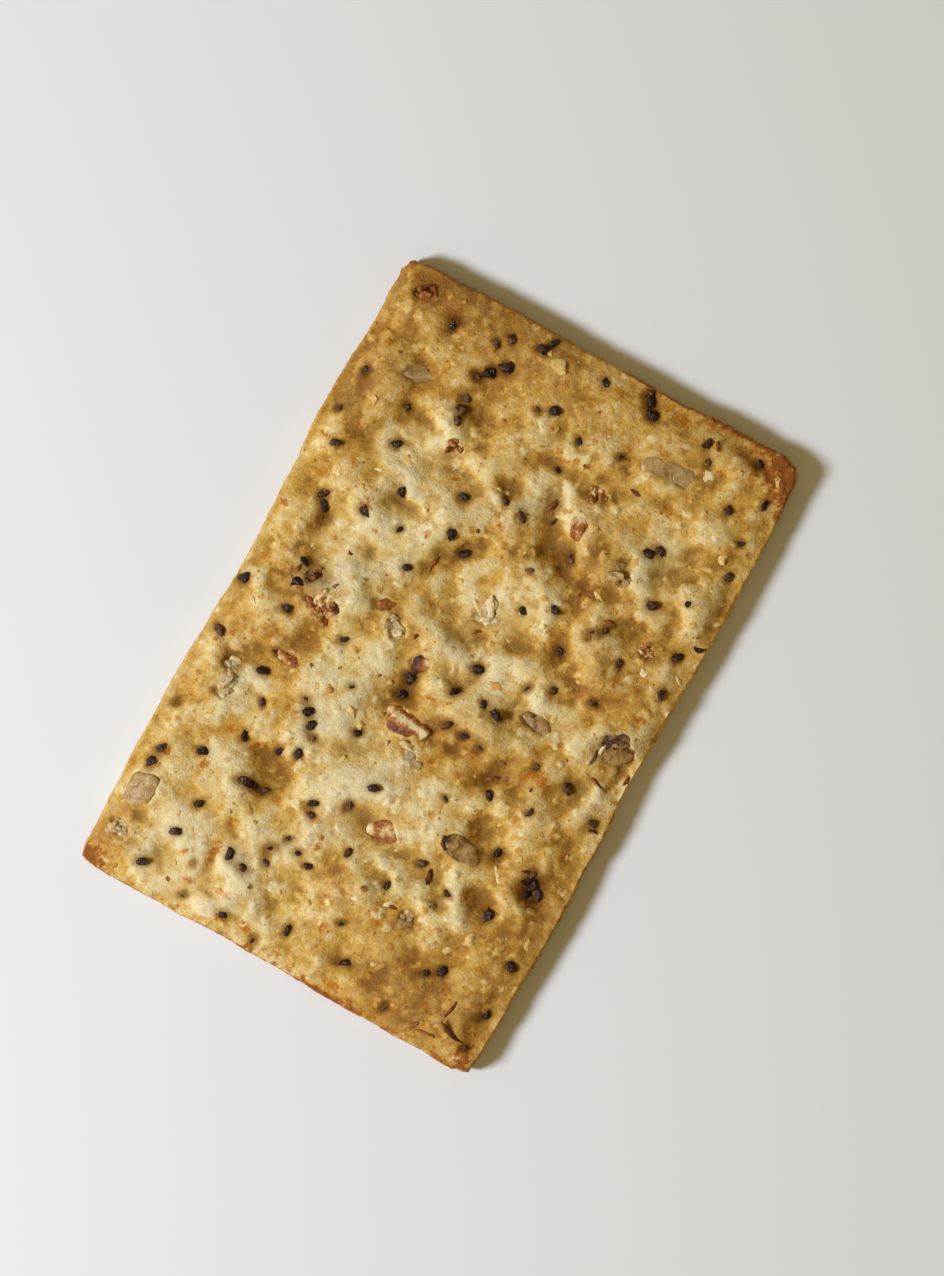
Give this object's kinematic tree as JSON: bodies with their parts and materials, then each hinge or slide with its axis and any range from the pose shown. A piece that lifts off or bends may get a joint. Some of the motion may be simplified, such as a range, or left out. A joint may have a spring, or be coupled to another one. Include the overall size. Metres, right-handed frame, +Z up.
{
  "type": "seed cracker",
  "caption": "Thin rectangular baked seed cracker with a lumpy golden top set with poppy seeds, sunflower kernel pieces and cracked grains; it lies on its flat underside.",
  "frame": {"origin": "under the middle of the flat underside, halfway along the length and the width", "axes": "+Z up through the thickness with the seeded side on top, +Y along the long side, +X across to the right"},
  "size_m": [0.0441, 0.0671, 0.004],
  "materials": {
    "dough": "matte baked dough, pale on the swells and browned at the edges",
    "poppy_seed": "dull blue-black seed coat",
    "kernel": "smooth grey-beige toasted kernel",
    "grain": "semi-gloss red-brown husk with pale breaks"
  },
  "bodies": {
    "root": {"cracker": "dough"}
  },
  "joints": []
}
